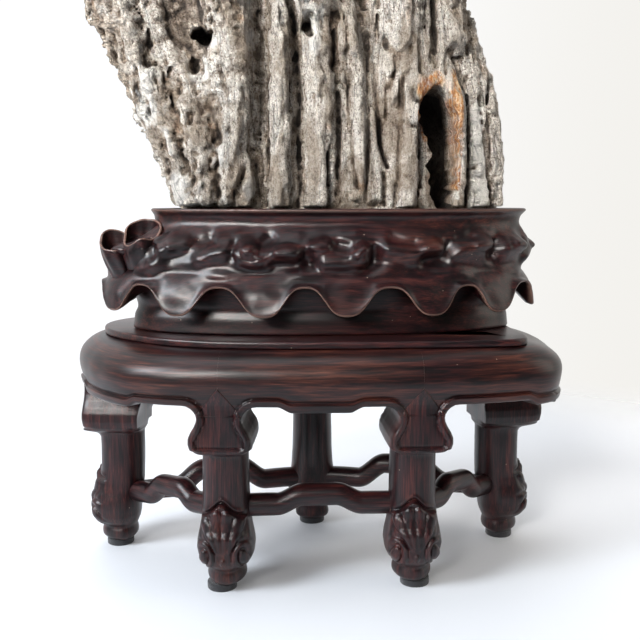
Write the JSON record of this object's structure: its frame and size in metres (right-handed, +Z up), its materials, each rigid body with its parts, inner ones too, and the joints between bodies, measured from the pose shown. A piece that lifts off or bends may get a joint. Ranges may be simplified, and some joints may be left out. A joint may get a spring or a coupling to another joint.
{
  "type": "scholars rock on a carved stand",
  "caption": "Upright ridged and pitted natural stone that rests in a scalloped, scroll-carved seat on a low five-legged hardwood table stand.",
  "frame": {"origin": "on the floor, under the middle of the whole object's box, between the five felt pads", "axes": "+Z up along the stone; +X to the right and -Y towards someone who faces the front of the stand"},
  "size_m": [0.2843, 0.1582, 0.48],
  "materials": {
    "stone": "natural, weathered, ridged and pitted, matt to slightly waxed",
    "rosewood": "dark reddish brown rosewood, waxed, semi-gloss",
    "felt": "black felt"
  },
  "bodies": {
    "root": {"rock": "stone", "rock_seat": "rosewood", "top_board": "rosewood", "apron_front": "rosewood", "apron_front_right": "rosewood", "apron_back_right": "rosewood", "apron_back_left": "rosewood", "apron_front_left": "rosewood", "leg_front_left": "rosewood", "leg_front_right": "rosewood", "leg_end_right": "rosewood", "leg_back": "rosewood", "leg_end_left": "rosewood", "stretcher_front": "rosewood", "stretcher_front_right": "rosewood", "stretcher_back_right": "rosewood", "stretcher_back_left": "rosewood", "stretcher_front_left": "rosewood", "pad_front_left": "felt", "pad_front_right": "felt", "pad_end_right": "felt", "pad_back": "felt", "pad_end_left": "felt"}
  },
  "joints": []
}
